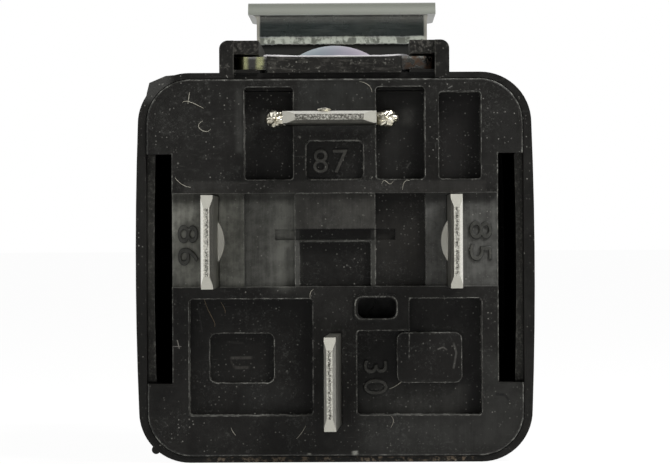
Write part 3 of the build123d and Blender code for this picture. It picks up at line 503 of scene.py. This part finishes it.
# middle is where an upright blade's end has its dark line, in millimetres across the object
def tinMaterial(name, look, middle=None):
    material, net = newMaterial(name)
    vector, parts = net.place()
    facing = net.node("ShaderNodeNewGeometry")
    turned = net.node("ShaderNodeSeparateXYZ", inputs={0: Wire(net, facing.outputs["True Normal"])})
    outward = Wire(net, turned.outputs[1]) * -1
    tip = 1 - parts[1].rise(tipDepth + look["tipZone"], tipDepth + look["tipZone"] + 0.4)
    sheared = outward.rise(0.96, 0.99) * tip
    matte = outward.rise(0.5, 0.6) * (1 - outward.rise(0.9, 0.96)) * tip
    bevel = outward.rise(0.2, 0.28) * (1 - outward.rise(0.45, 0.5)) * tip
    pits = net.noise(vector, 7.5, 5.0, 0.85)
    clouds = net.noise(vector, 0.9, 3.0, 0.6)
    drawn = net.noise(net.stretched(vector, (7.0, 0.5, 7.0)), 1.0, 3.0, 0.6)
    flankTone = (clouds.rise(0.35, 0.7) * 0.5 + drawn * 0.3).clamped()
    flank = net.mixColour(flankTone, look["flank"], look["matte"])
    speckles = net.noise(net.stretched(vector, (3.0, 1.4, 5.5)), 1.0, 4.0, 0.75).rise(0.44, 0.6)
    worn = 0.62 - parts[1].rise(tipDepth + 0.5, tipDepth + 5.0) * 0.42
    flank = net.mixColour((1 - speckles) * worn, flank, look["flankDark"])
    grit = net.noise(vector, 10.0, 4.0, 0.75).rise(0.42, 0.66)
    rough = net.mixColour(grit, look["sheared"], look["bright"])
    ridges = 0.0
    if middle is not None:
        aside = abs(parts[0] - middle + (clouds * 0.16 - 0.08) + (pits * 0.1 - 0.05))
        ridges = aside.rise(*look["ridgeFrom"]) * sheared
        rough = net.mixColour(ridges * (0.45 + grit * 0.55), rough, look["ridge"])
    colour = net.mixColour(sheared, flank, rough)
    paled = net.mixColour(pits.rise(0.35, 0.7) * 0.5, look["matte"], look["flank"])
    colour = net.mixColour(matte, colour, paled)
    colour = net.mixColour(bevel * (0.55 + pits.rise(0.35, 0.6) * 0.45), colour, look["bright"])
    stains = pits.rise(0.62, 0.72) * clouds.rise(0.48, 0.6)
    colour = net.mixColour((stains * 0.6).clamped(), colour, look["stain"])
    # Painted highlight: each blade's foot, facing forward behind the tip, is painted lighter and less
    # metallic where its faces would reflect the dark room
    foot = outward.rise(0.9, 0.96) * (1 - tip)
    colour = net.mixColour(foot, colour, look["foot"])
    coarse = (sheared + matte * 0.5).clamped()
    height = pits * (0.15 + coarse * 1.2) + drawn * 0.3
    finishMaterial(net, {
        "Base Color": colour,
        "Metallic": 1 - (matte + foot + ridges).clamped() * 0.5,
        "Roughness": look["roughness"] + coarse * 0.14 + clouds * 0.08,
        "Normal": net.bump(height, 0.5, 0.02),
    })
    return material


# Zinc on the bracket: cool grey, with a faint iridescence and rust at one corner; the riser is painted darker
# as a painted reflection of the dark room, lighter towards its top
zincLook = {
    "zinc": (0.43, 0.44, 0.41),
    "dull": (0.3, 0.31, 0.29),
    "bar": (0.163, 0.171, 0.147),
    "riser": (0.065, 0.083, 0.078),
    "riserPale": (0.15, 0.17, 0.16),
    "riserTop": (0.28, 0.285, 0.26),
    "band": (0.34, 0.36, 0.31),
    "gaps": (0.075, 0.08, 0.065),
    "shadowed": (0.0095, 0.0095, 0.0085),
    "sides": (0.3, 0.29, 0.25),
    "blue": (0.25, 0.36, 0.55),
    "rose": (0.55, 0.4, 0.5),
    "yellow": (0.5, 0.52, 0.2),
    "rust": (0.16, 0.075, 0.03),
    "sheenBlue": (0.165, 0.22, 0.25),
    "sheenRose": (0.235, 0.195, 0.255),
    "plateEnd": (0.06, 0.06, 0.055),
    "spot": (0.75, 0.76, 0.42),
    "middle": 0.45,
    "bendStart": 4.6,
    "rustCorner": (4.9, 8.0, 13.2, 15.2),
    "spots": ((-6.9, -6.05, 13.6, 14.9), (-5.45, -4.95, 13.6, 14.9)),
    "roughness": 0.2,
}


def zincMaterial(name, look):
    material, net = newMaterial(name)
    vector, parts = net.place()
    height = parts[2] - middleHeight
    spangle = net.noise(vector, 1.1, 4.0, 0.6)
    rolled = net.noise(net.stretched(vector, (0.6, 0.6, 8.0)), 1.0, 3.0, 0.6)
    hue = net.noise(vector, 0.3, 2.0, 0.5, 0.6)
    stops = [(0.35, look["blue"]), (0.47, look["zinc"]), (0.56, look["rose"]), (0.66, look["yellow"])]
    tint = net.add("ShaderNodeValToRGB", {"stops": stops}, {0: hue})
    onBend = parts[1].rise(look["bendStart"], look["bendStart"] + 0.5)
    # Painted reflection: the riser is painted dark slate, blotched, and lighter towards its top
    riser = height.rise(16.98, 17.12) * (1 - height.rise(18.6, 18.75)) * onBend
    upper = height.rise(17.85, 18.5)
    riserBlotches = net.noise(net.stretched(vector, (0.4, 1, 1.9)), 1.0, 4.0, 0.7).rise(0.4, 0.68)
    slate = net.mixColour(riserBlotches * 0.55, look["riser"], look["riserPale"])
    slate = net.mixColour(upper, slate, look["riserTop"])
    colour = net.mixColour((spangle.rise(0.3, 0.7) * 0.2).clamped(), look["zinc"], look["dull"])
    colour = net.mixColour(0.13, colour, tint)
    colour = net.mixColour((riser * (0.72 + rolled * 0.3 + spangle * 0.12)).clamped(), colour, slate)
    # The bend below the riser: painted shade at its foot, then a pale band with spots, a painted highlight of
    # the curved bend together with plating wear
    cells = net.noise(net.stretched(vector, (1.5, 1.0, 0.9)), 1.0, 4.0, 0.75)
    ragged = height + cells * 0.3 - 0.15
    foot = height.rise(14.75, 14.8) * (1 - ragged.rise(16.42, 16.56)) * onBend
    band = ragged.rise(16.42, 16.56) * (1 - ragged.rise(16.93, 17.1)) * onBend
    colour = net.mixColour(foot * 0.96, colour, look["shadowed"])
    spotted = net.mixColour(cells.rise(0.44, 0.56) * 0.9, look["band"], look["gaps"])
    colour = net.mixColour(band, colour, spotted)
    # Painted highlights on the rounded side edges of the riser
    sides = abs(parts[0] - look["middle"]).rise(6.05, 6.2) * height.rise(15.3, 15.6)
    sides = sides * (1 - height.rise(18.5, 18.7)) * onBend
    colour = net.mixColour(sides * 0.85, colour, look["sides"])
    # Painted sheen on the pressed bulge: blue at one side and rose at the other
    bulge = (1 - abs(parts[0]).rise(2.9, 3.1)) * height.rise(14.72, 14.8) * (1 - parts[1].rise(-3.6, -3.3))
    sheen = net.mixColour(parts[0].rise(-2.4, 2.4), look["sheenBlue"], look["sheenRose"])
    colour = net.mixColour(bulge * 0.9, colour, sheen)
    bar = height.rise(18.6, 18.75)
    colour = net.mixColour(bar, colour, look["bar"])
    # The plate's cut end is painted darker: its rough sheared face, with painted shade
    front = 1 - parts[1].rise(-10.9, -10.4)
    ends = front * (1 - height.rise(14.5, 14.62))
    colour = net.mixColour(ends * 0.8, colour, look["plateEnd"])
    for left, right, low, high in look["spots"]:
        spot = net.inBox(parts, left, right, low, high, 0.15) * front
        colour = net.mixColour((spot * spangle.rise(0.3, 0.5)).clamped(), colour, look["spot"])
    matte = band.calc("MAXIMUM", bar).calc("MAXIMUM", sides * 0.8).calc("MAXIMUM", bulge * 0.8)
    corner = net.inBox(parts, *look["rustCorner"], 0.3) * (1 - parts[1].rise(-10.6, -9.6))
    rust = (corner * net.noise(vector, 2.2, 4.0, 0.7).rise(0.4, 0.6)).clamped()
    colour = net.mixColour(rust * 0.85, colour, look["rust"])
    finishMaterial(net, {
        "Base Color": colour,
        "Metallic": 1 - (rust * 0.9).calc("MAXIMUM", matte * 0.75),
        "Roughness": look["roughness"] + spangle * 0.12 + rust * 0.4 + matte * 0.22,
        "Normal": net.bump(spangle + rolled * 0.6 + rust, 0.25, 0.02),
    })
    return material


# Metals and mouldings inside the cover: two tones, clouded and finely lined
innerLook = {
    "iron": {"light": (0.5, 0.49, 0.47), "dark": (0.3, 0.3, 0.29), "roughness": 0.34, "metal": 1.0},
    # blackIron: the yoke and core, painted near black as painted shade inside the cover
    "blackIron": {"light": (0.05, 0.05, 0.048), "dark": (0.02, 0.02, 0.02), "roughness": 0.5, "metal": 0.8},
    "copper": {"light": (0.62, 0.25, 0.11), "dark": (0.32, 0.1, 0.04), "roughness": 0.3, "metal": 1.0},
    "bronze": {"light": (0.66, 0.42, 0.22), "dark": (0.42, 0.25, 0.12), "roughness": 0.3, "metal": 1.0},
    "silver": {"light": (0.78, 0.77, 0.74), "dark": (0.5, 0.49, 0.46), "roughness": 0.22, "metal": 1.0},
    "former": {"light": (0.02, 0.02, 0.018), "dark": (0.008, 0.008, 0.007), "roughness": 0.5, "metal": 0.0},
    "tape": {"light": (0.06, 0.13, 0.3), "dark": (0.03, 0.07, 0.18), "roughness": 0.35, "metal": 0.0},
}


# Outside it: the squeezed tin, the plate's lip and the hairs, each with its material's name
outerLook = {
    "stake": (
        "stakedTin", {"light": (0.85, 0.82, 0.7), "dark": (0.3, 0.27, 0.2), "roughness": 0.22, "metal": 1.0},
    ),
    # The plate's lip is a real burr; its pale, less metallic finish is a painted highlight along the edge
    "lip": (
        "platedLip", {"light": (0.62, 0.6, 0.6), "dark": (0.4, 0.39, 0.4), "roughness": 0.45, "metal": 0.3},
    ),
    "paleHair": (
        "paleHair", {"light": (0.33, 0.32, 0.27), "dark": (0.2, 0.19, 0.15), "roughness": 0.6, "metal": 0.0},
    ),
    "brownHair": (
        "brownHair", {"light": (0.2, 0.15, 0.09), "dark": (0.12, 0.09, 0.05), "roughness": 0.6, "metal": 0.0},
    ),
}


def twoToneMaterial(name, look):
    material, net = newMaterial(name)
    vector, parts = net.place()
    clouds = net.noise(vector, 1.2, 4.0, 0.6)
    lines = net.noise(net.stretched(vector, (1.0, 9.0, 1.0)), 1.0, 3.0, 0.6)
    tone = (clouds.rise(0.3, 0.7) * 0.6 + lines.rise(0.35, 0.65) * 0.4).clamped()
    finishMaterial(net, {
        "Base Color": net.mixColour(tone, look["dark"], look["light"]),
        "Metallic": look["metal"],
        "Roughness": look["roughness"] + clouds * 0.15,
        "Normal": net.bump(clouds + lines, 0.3, 0.02),
    })
    return material


# Middle of an upright blade's end across the object: halfway between the outermost points of its tip
def endMiddle(blade):
    mesh = nodes[blade].data
    points = np.empty(len(mesh.vertices) * 3)
    mesh.vertices.foreach_get("co", points)
    points = points.reshape(-1, 3) / mm
    tip = points[points[:, 1] < points[:, 1].min() + 0.05, 0]
    return float(tip.min() + tip.max()) / 2


materials = {
    "base": plasticMaterial("basePlastic", plasticLook, faced=True),
    "cover": plasticMaterial("coverPlastic", plasticLook, rimmed=True),
    "tin": tinMaterial("bladeTin", tinLook),
    "zinc": zincMaterial("bracketZinc", zincLook),
}
for blade, shift in tinLook["lines"].items():
    materials[blade] = tinMaterial(blade + "Tin", tinLook, endMiddle(blade) + shift)
for finish, look in innerLook.items():
    materials[finish] = twoToneMaterial(finish + "Finish", look)
# Raised figures: the front is painted lighter as a painted highlight of the lit strokes, and the sides take a
# painted shade
figureLook = {
    "recessFigure": {
        "dark": (0.028, 0.028, 0.025), "pale": (0.062, 0.062, 0.056), "side": (0.012, 0.012, 0.011),
    },
    "pitFigure": {
        "dark": (0.022, 0.0215, 0.019), "pale": (0.075, 0.073, 0.066), "side": (0.0035, 0.0033, 0.0028),
    },
}
for finish, look in figureLook.items():
    materials[finish] = plasticMaterial(finish, {**plasticLook, **look}, figure=True)
for finish, (name, look) in outerLook.items():
    materials[finish] = twoToneMaterial(name, look)

nodeFinish = {
    "cover": "cover", "base": "base", "bracket": "zinc",
    "terminal_86": "terminal_86", "terminal_85": "terminal_85", "terminal_30": "terminal_30",
    "terminal_87": "tin", "back_stop": "tin",
    "bobbin": "former", "coil_winding": "copper", "coil_tape": "tape",
    "core": "blackIron", "yoke": "blackIron",
    "armature": "iron", "spring_rivets": "iron", "yoke_rivets": "iron",
    "contact_spring": "bronze", "return_spring": "bronze",
    "moving_contact": "silver", "fixed_contact": "silver",
    "coil_lead_85": "copper", "coil_lead_86": "copper",
}
for nodeName, finish in nodeFinish.items():
    for materialSlot in nodes[nodeName].material_slots:
        materialSlot.material = materials[finish]
print("materials set on", len(nodeFinish), "nodes")


# Meshes: points in millimetres become an object at the origin
def meshPiece(name, points, faces, body, finish):
    mesh = bpy.data.meshes.new(name)
    mesh.from_pydata((np.asarray(points) * mm).tolist(), [], np.asarray(faces).tolist())
    mesh.validate()
    mesh.polygons.foreach_set("use_smooth", np.full(len(mesh.polygons), True))
    mesh.update()
    piece = bpy.data.objects.new(name, mesh)
    bpy.context.collection.objects.link(piece)
    piece.data.materials.append(finish)
    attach(piece, body)
    return piece


# Faces of a grid of points that is closed round its first direction: point j of line i has the number
# i times the points along a line, plus j, and each face joins two neighbours of two lines
def gridFaces(around, along):
    i, j = np.meshgrid(np.arange(around), np.arange(along - 1), indexing="ij")
    after = (i + 1) % around
    corners = [i * along + j, i * along + j + 1, after * along + j + 1, after * along + j]
    return np.stack(corners, -1).reshape(-1, 4)


# Raised numbers beside the blades: left, right, low and high of each, its floor, and whether it is turned
numberLook = {
    "raise": 0.13,
    "sunk": 0.03,
    "thin": -0.022,
    "edge": 0.034,
    "extrude": 0.03,
    "spacing": 1.12,
    "places": {
        "number_87": ("87", -1.53, 0.98, 6.52, 8.23, "numberPit", False),
        "number_30": ("30", 1.92, 3.63, -8.95, -6.49, "pit", True),
        "number_86": ("86", -10.94, -9.5, 0.16, 3.0, "recess", True),
        "number_85": ("85", 9.33, 10.94, 0.4, 3.2, "recess", True),
    },
}


# Text to mesh; its points then run from 0 to 1 across, up and outwards, and fill the stated box
def numberPiece(name, words, left, right, low, high, level, turned, look):
    curve = bpy.data.curves.new(name, "FONT")
    curve.body = words
    curve.size = 1.0
    curve.extrude = look["extrude"]
    curve.bevel_depth = look["edge"]
    curve.bevel_resolution = 2
    curve.offset = look["thin"]
    curve.resolution_u = 6
    curve.space_character = look["spacing"]
    holder = bpy.data.objects.new(name + "Text", curve)
    bpy.context.collection.objects.link(holder)
    bpy.context.view_layer.update()
    mesh = bpy.data.meshes.new_from_object(holder)
    bpy.data.objects.remove(holder)
    count = len(mesh.vertices)
    points = np.empty(count * 3)
    mesh.vertices.foreach_get("co", points)
    points = points.reshape(-1, 3)
    first, last = points.min(0), points.max(0)
    across, up, out = ((points - first) / (last - first)).T
    if turned:  # reading downwards, with the tops of the figures to the right
        across, up = up, 1 - across
    depth = faceDepth + levels[level] + look["sunk"] - out * (look["raise"] + look["sunk"])
    x = left + across * (right - left)
    z = middleHeight + low + up * (high - low)
    placed = np.stack([x, depth, z], 1) * mm
    mesh.vertices.foreach_set("co", placed.ravel())
    mesh.update()
    mesh.materials.clear()
    mesh.materials.append(materials["recessFigure" if level == "recess" else "pitFigure"])
    piece = bpy.data.objects.new(name, mesh)
    bpy.context.collection.objects.link(piece)
    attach(piece, "housing")
    return piece


for name, place in numberLook["places"].items():
    numberPiece(name, *place, numberLook)
print("numbers made")


# Staked ears of the contact blade: lumps of metal squeezed out beside it.
# A ball whose radius swells and dips with a few sine waves of its two angles. Each has its place
# across, up and in depth, its reach in the same order as x, y and z, and the phase of the waves.
stakeLook = {
    "steps": 56,
    "lumps": {
        "stake_left": (-4.1, 10.32, -12.2, (0.66, 0.42, 0.6), 3.1),
        "stake_right": (3.62, 10.34, -12.2, (0.78, 0.42, 0.58), 7.7),
        "flake_87": (-0.62, 10.62, -23.2, (0.42, 0.2, 0.13), 5.2),
    },
}


def lumpPiece(name, across, height, depth, reach, phase, steps):
    turns = np.linspace(0, 2 * np.pi, steps, endpoint=False)
    turn, lean = np.meshgrid(turns, np.linspace(0, np.pi, steps // 2), indexing="ij")
    swell = 1 + 0.13 * np.sin(3 * turn + phase) * np.sin(2 * lean)
    swell += 0.08 * np.sin(5 * turn - 2 * phase + 3 * lean)
    swell += 0.06 * np.sin(9 * turn + phase) * np.sin(7 * lean + phase) * np.sin(lean)
    x = across + reach[0] * swell * np.sin(lean) * np.cos(turn)
    z = middleHeight + height + reach[2] * swell * np.sin(lean) * np.sin(turn)
    y = depth - reach[1] * swell * np.cos(lean)
    points = np.stack([x, y, z], -1).reshape(-1, 3)
    faces = gridFaces(steps, steps // 2)
    return meshPiece(name, points, faces, "housing", materials["stake"])


for name, place in stakeLook["lumps"].items():
    lumpPiece(name, *place, stakeLook["steps"])


# Lip that the cutting left along the end of the bracket's plate: a flattened ring of points is carried
# across, from inside the plate up to a top line that climbs with the fourth power towards both ends
lipLook = {
    "steps": 60,
    "sides": 10,
    "span": (-4.95, 5.2),
    "middle": 0.1,
    "plateTop": 14.7,
    "sunk": 0.1,
    "top": 0.09,
    "climb": 0.12,
    "ripple": 0.012,
    "thick": 0.06,
}


def lipPiece(name, look):
    start, end = look["span"]
    across = np.linspace(start, end, look["steps"])[:, None]
    reach = (end - start) / 2
    top = look["top"] + look["climb"] * np.abs((across - look["middle"]) / reach) ** 4
    top = top + look["ripple"] * np.sin(5.3 * across) * np.sin(2.1 * across + 1)
    ends = np.sqrt(np.clip(1 - np.abs((across - look["middle"]) / reach) ** 24, 0, 1))
    angles = np.linspace(2 * np.pi, 0, look["sides"], endpoint=False)[None, :]
    half = (top + look["sunk"]) / 2
    z = middleHeight + look["plateTop"] + (top - look["sunk"]) / 2 + half * ends * np.sin(angles)
    y = plateEnd + look["thick"] + look["thick"] * ends * np.cos(angles)
    x = across + 0 * angles
    points = np.stack([x, y, z], -1).transpose(1, 0, 2).reshape(-1, 3)
    faces = gridFaces(look["sides"], look["steps"])
    return meshPiece(name, points, faces, "bracket", materials["lip"])


lipPiece("plate_lip", lipLook)


# Hairs and lint: name, level and radius, then places across and up from the middle of the base plate.
# A smooth curve is fitted to the places, with a ring of points carried along it.
hairLook = {
    "steps": 40,
    "sides": 6,
    "finer": 0.75,
    "pale": (
        ("hair_a", "face", 0.03, ((-10.05, 12.2), (-10.1, 11.9), (-10.17, 11.4))),
        ("hair_b", "face", 0.03, ((-10.55, 11.5), (-10.1, 11.55), (-9.5, 11.3), (-9.1, 11.1))),
        ("hair_c", "face", 0.028, ((-9.15, 10.2), (-9.45, 9.9), (-9.25, 9.55), (-8.9, 9.5), (-8.6, 9.65))),
        ("hair_d", "face", 0.025, ((-11.1, 6.3), (-10.8, 5.95), (-10.4, 5.7), (-10.0, 5.6))),
        ("hair_e", "pit", 0.034, ((3.7, -8.5), (4.1, -8.35), (4.6, -8.0), (5.15, -7.5))),
        ("hair_f", "face", 0.022, ((1.75, 12.9), (2.2, 12.75), (2.5, 12.5), (2.6, 12.15))),
        ("hair_g", "face", 0.022, ((-2.75, -11.9), (-2.4, -11.5), (-2.1, -11.0))),
        ("hair_h", "face", 0.02, ((3.85, -10.35), (3.98, -10.7), (3.8, -11.15))),
        ("hair_i", "face", 0.022, ((-7.3, -11.1), (-7.15, -11.4), (-6.95, -11.65))),
        ("hair_j", "face", 0.022, ((-1.75, -2.1), (-1.72, -1.75), (-1.5, -1.5))),
        ("hair_k", "face", 0.025, ((3.25, 5.75), (3.5, 6.0), (3.75, 5.8), (4.05, 5.95))),
        ("hair_l", "face", 0.024, ((4.7, 5.35), (4.85, 5.9), (5.2, 6.0))),
    ),
    "brown": (
        ("hair_m", "pit", 0.024, ((-9.2, -1.6), (-9.1, -2.5), (-8.7, -3.2), (-8.5, -3.8), (-8.45, -4.1))),
        ("hair_n", "pit", 0.02, ((-8.0, -2.4), (-7.75, -2.85), (-7.7, -3.2))),
    ),
}


def hairPiece(name, level, radius, places, finish, look):
    radius *= look["finer"]
    depth = {"face": faceDepth, "pit": faceDepth + levels["pit"]}[level] - radius * 0.6
    knots = np.array(places)
    spans = np.linspace(0, len(knots) - 1, look["steps"])
    degree = min(3, len(knots) - 1)
    order = np.arange(len(knots))
    fitted = np.stack([np.polyval(np.polyfit(order, knots[:, k], degree), spans) for k in (0, 1)], 1)
    along = np.gradient(fitted, axis=0)
    along /= np.linalg.norm(along, axis=1, keepdims=True)
    taper = radius * (0.45 + 0.55 * np.sin(np.linspace(0.15, np.pi - 0.15, look["steps"])))
    angles = np.linspace(0, 2 * np.pi, look["sides"], endpoint=False)
    side = np.cos(angles)[:, None] * taper
    rise = np.sin(angles)[:, None] * taper
    x = fitted[:, 0] - along[:, 1] * side
    z = middleHeight + fitted[:, 1] + along[:, 0] * side
    y = depth + rise
    points = np.stack([x, y, z], -1).reshape(-1, 3)
    faces = gridFaces(look["sides"], look["steps"])
    return meshPiece(name, points, faces, "housing", finish)


for shade in ("pale", "brown"):
    for name, level, radius, places in hairLook[shade]:
        hairPiece(name, level, radius, places, materials[shade + "Hair"], hairLook)
print("stakes and hairs made")


# Stage: a pale floor that keeps the shadow, soft lamps and the camera
stageLook = {
    "floorSize": 6000.0,
    "floorColour": (0.88, 0.88, 0.87),
    "floorGlow": 0.94,
    "glowStrength": 1.02,
    "towardsCamera": 0.03,
    "overhead": 0.85,
    "behind": 1.0,
    "ambient": 0.32,
    "lamps": {  # power, size and place
        "keyLamp": (1.1, 110, (150, -130, 230)),
        "fillLamp": (0.2, 220, (-190, -90, 120)),
    },
    "lampAim": (0, -10, 14),
}


# 1 for the rays that show the background itself, in the lens or in gloss and glass
def backgroundRays(net):
    path = net.node("ShaderNodeLightPath")
    seen = Wire(net, path.outputs["Is Camera Ray"]) + Wire(net, path.outputs["Is Glossy Ray"])
    return path, (seen + Wire(net, path.outputs["Is Transmission Ray"])).clamped()


def floorMaterial(look):
    material, net = newMaterial("paleFloor")
    path, seen = backgroundRays(net)
    diffuse = net.add("ShaderNodeBsdfDiffuse", {}, {"Color": look["floorColour"]})
    glow = net.add("ShaderNodeEmission", {}, {"Color": (1, 1, 1), "Strength": look["glowStrength"]})
    mixed = net.add("ShaderNodeMixShader", {}, {0: seen * look["floorGlow"], 1: diffuse, 2: glow})
    net.node("ShaderNodeOutputMaterial", {}, {"Surface": mixed})
    return material


def makeFloor(look):
    half = look["floorSize"] * mm / 2
    mesh = bpy.data.meshes.new("floor")
    corners = [(-half, -half, 0), (half, -half, 0), (half, half, 0), (-half, half, 0)]
    mesh.from_pydata(corners, [], [(0, 1, 2, 3)])
    mesh.materials.append(floorMaterial(look))
    floor = bpy.data.objects.new("floor", mesh)
    bpy.context.collection.objects.link(floor)


# A studio that is white behind the object, with a soft box high over its front and a dark room
# beyond the camera
def makeWorld(look):
    world = bpy.data.worlds.new("studio")
    bpy.context.scene.world = world
    world.use_nodes = True
    world.node_tree.nodes.clear()
    net = Net(world.node_tree)
    direction = net.add("ShaderNodeTexCoord", output=0)
    parts = net.node("ShaderNodeSeparateXYZ", inputs={0: direction})
    forward = Wire(net, parts.outputs[1])
    upward = Wire(net, parts.outputs[2])
    behind = forward.rise(0.05, 0.35) * (1 - upward.rise(0.65, 0.8))
    overhead = upward.rise(0.66, 0.8) * (1 - forward.rise(-0.15, 0.02))
    room = look["towardsCamera"] + overhead * (look["overhead"] - look["towardsCamera"])
    shown = room + behind * (look["behind"] - room)
    path, seen = backgroundRays(net)
    camera = Wire(net, path.outputs["Is Camera Ray"])
    shown = shown * (1 - camera) + camera
    strength = seen * shown + (1 - seen) * look["ambient"]
    background = net.add("ShaderNodeBackground", {}, {"Color": (1, 1, 1), "Strength": strength})
    net.node("ShaderNodeOutputWorld", {}, {"Surface": background})


def makeLamp(name, power, size, place, aim):
    data = bpy.data.lights.new(name, "AREA")
    data.energy = power
    data.shape = "DISK"
    data.size = size * mm
    lamp = bpy.data.objects.new(name, data)
    bpy.context.collection.objects.link(lamp)
    start = np.array(place) * mm
    lamp.location = start
    towards = Vector(np.array(aim) * mm - start)
    lamp.rotation_euler = towards.to_track_quat("-Z", "Y").to_euler()


cameraLook = {
    "lens": 212.8,
    "sensor": 36.0,
    "nearest": 10.0,
    "distance": 275.0,
    "aside": 1.8,
    "aboveMiddle": 2.45,
    "roll": 0.28,
}


def makeCamera(look):
    data = bpy.data.cameras.new("camera")
    data.lens = look["lens"]
    data.sensor_width = look["sensor"]
    data.clip_start = look["nearest"] * mm
    camera = bpy.data.objects.new("camera", data)
    bpy.context.collection.objects.link(camera)
    bpy.context.scene.camera = camera
    yaw = math.atan(look["aside"] / look["distance"])
    place = (look["aside"], faceDepth - look["distance"], middleHeight + look["aboveMiddle"])
    camera.location = np.array(place) * mm
    camera.rotation_euler = (math.radians(90), math.radians(look["roll"]), yaw)


makeFloor(stageLook)
makeWorld(stageLook)
for name, (power, size, place) in stageLook["lamps"].items():
    makeLamp(name, power, size, place, stageLook["lampAim"])
makeCamera(cameraLook)
bpy.context.scene.view_settings.view_transform = "Standard"
print("stage set")
